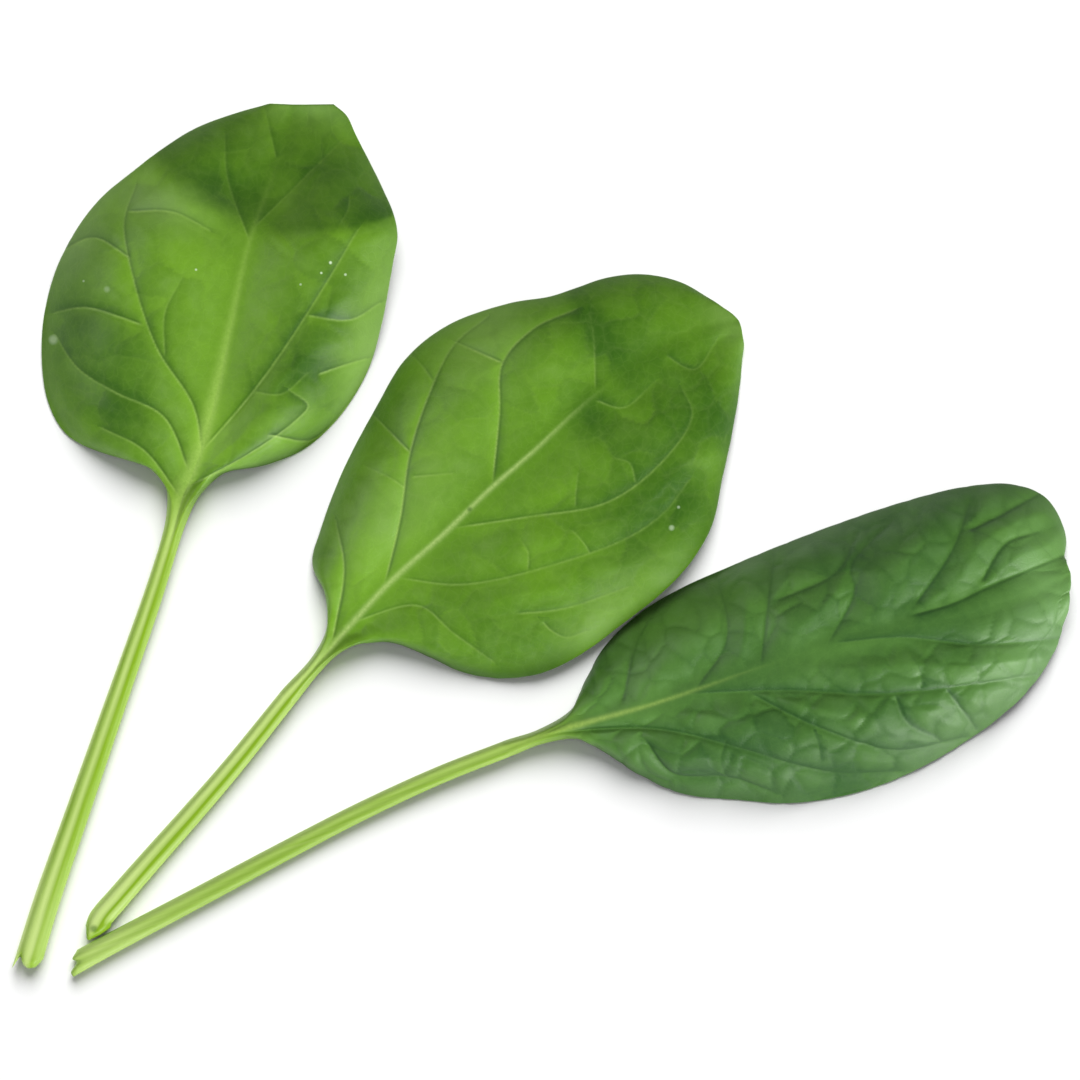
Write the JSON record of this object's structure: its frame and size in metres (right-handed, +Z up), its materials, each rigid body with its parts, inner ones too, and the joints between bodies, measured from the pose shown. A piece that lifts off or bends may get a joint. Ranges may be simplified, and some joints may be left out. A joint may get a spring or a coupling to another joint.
{
  "type": "spinach bunch",
  "caption": "Loose fan of picked spinach leaves lying flat: slim grooved stalks, broad rounded blades with veins, curled margins and puckers.",
  "frame": {"origin": "under the middle of the bunch, on the surface it lies on", "axes": "+Z up from the surface; +X along the bunch's longest side, from the cut stalk ends towards the right leaf's tip; +Y towards the left leaf's tip"},
  "size_m": [0.1693, 0.14, 0.0118],
  "materials": {
    "leaf_left": "satin",
    "leaf_middle": "satin",
    "leaf_right": "satin"
  },
  "bodies": {
    "root": {"leaf_left": "leaf_left", "leaf_middle": "leaf_middle", "leaf_right": "leaf_right"}
  },
  "joints": []
}
